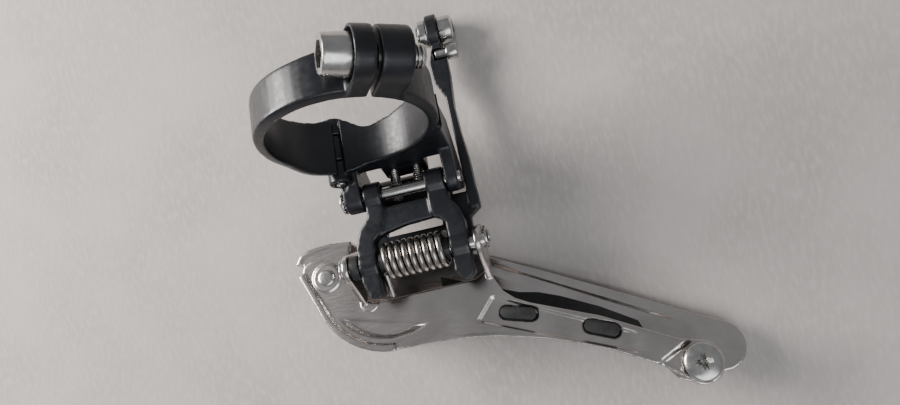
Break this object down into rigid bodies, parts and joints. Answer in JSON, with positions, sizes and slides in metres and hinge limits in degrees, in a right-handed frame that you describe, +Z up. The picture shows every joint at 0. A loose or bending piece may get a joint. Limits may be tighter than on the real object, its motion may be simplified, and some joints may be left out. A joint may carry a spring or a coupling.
{
  "type": "front derailleur",
  "caption": "Band-clamp front derailleur: hinged clamp ring, sprung parallelogram links with a long cable arm, and a two-plate chain cage.",
  "frame": {"origin": "centre of the bounding box's bottom, on the bench that the drive side lies on", "axes": "+Z up from the bench, +X to the rear of the bicycle, +Y up along the seat tube but tilted by the way it lies"},
  "size_m": [0.1082, 0.1066, 0.067],
  "materials": {
    "black_finish": "black anodised satin",
    "cage_metal": "polished, warm grey",
    "steel": "plated steel",
    "spring_steel": "bright spring wire",
    "black_plastic": "moulded, matte"
  },
  "bodies": {
    "bracket": {"bracket_body": "black_finish", "clamp_hinge_pin": "steel", "inner_upper_pin": "steel", "outer_upper_pin": "steel", "inner_upper_clip": "steel", "outer_upper_clip": "steel", "limit_screw_insert": "black_plastic"},
    "band": {"clamp_band": "black_finish"},
    "bolt": {"clamp_bolt": "steel", "clamp_washer": "steel"},
    "high_screw": {"high_limit_screw": "steel"},
    "low_screw": {"low_limit_screw": "steel"},
    "inner_arm": {"inner_link": "black_finish"},
    "outer_arm": {"outer_link": "black_finish", "cable_anchor_washer": "steel", "cable_converter": "steel"},
    "anchor_bolt": {"cable_anchor_bolt": "steel"},
    "cage": {"inner_cage_plate": "cage_metal", "outer_cage_plate": "cage_metal", "front_rivet": "steel", "rear_spacer": "steel", "inner_skid_plate": "black_plastic", "outer_skid_plate": "black_plastic", "inner_lower_pin": "steel", "outer_lower_pin": "steel", "inner_lower_clip": "steel", "outer_lower_clip": "steel", "spring_bush": "black_plastic", "front_pivot_washer": "black_plastic", "return_spring": "spring_steel"},
    "tail_screw": {"rear_screw": "steel"}
  },
  "joints": [
    {"name": "link_swing", "type": "hinge", "parent": "bracket", "child": "inner_arm", "pos_m": [-0.01828, 0.01051, 0.02065], "axis": [0.9947, -0.0163, -0.1014], "range_deg": [0, 33], "stiffness_Nm_per_rad": 0.2, "springref_deg": -28.65},
    {"name": "cage_swing", "type": "hinge", "parent": "inner_arm", "child": "cage", "pos_m": [-0.01822, -0.00567, 0.02388], "axis": [0.9947, -0.0163, -0.1014], "range_deg": [-33, 0]},
    {"name": "outer_link_swing", "type": "hinge", "parent": "bracket", "child": "outer_arm", "pos_m": [-0.01925, 0.01054, 0.01121], "axis": [0.9947, -0.0163, -0.1014], "range_deg": [0, 33]},
    {"name": "band_hinge", "type": "hinge", "parent": "bracket", "child": "band", "pos_m": [-0.02988, 0.02326, 0.02317], "axis": [-0.0163, 0.9496, -0.3131], "range_deg": [-0.25, 0.6]},
    {"name": "clamp_bolt_turn", "type": "hinge", "parent": "bracket", "child": "bolt", "pos_m": [-0.00484, 0.03537, 0.0586], "axis": [0.8046, -0.1735, -0.568], "continuous": true},
    {"name": "high_limit_turn", "type": "hinge", "parent": "bracket", "child": "high_screw", "pos_m": [-0.01921, 0.02038, 0.01388], "axis": [-0.0163, 0.9496, -0.3131], "continuous": true},
    {"name": "low_limit_turn", "type": "hinge", "parent": "bracket", "child": "low_screw", "pos_m": [-0.01325, 0.02028, 0.01327], "axis": [-0.0163, 0.9496, -0.3131], "continuous": true},
    {"name": "anchor_bolt_turn", "type": "hinge", "parent": "outer_arm", "child": "anchor_bolt", "pos_m": [-0.0022, 0.0487, 0.00467], "axis": [0.9947, -0.0163, -0.1014], "continuous": true},
    {"name": "tail_screw_turn", "type": "hinge", "parent": "cage", "child": "tail_screw", "pos_m": [0.0421, -0.0446, 0.02026], "axis": [0.1014, 0.3131, 0.9443], "continuous": true}
  ],
  "couplings": [
    {"joint": "cage_swing", "follows": "link_swing", "ratio": -1},
    {"joint": "outer_link_swing", "follows": "link_swing", "ratio": 1}
  ]
}
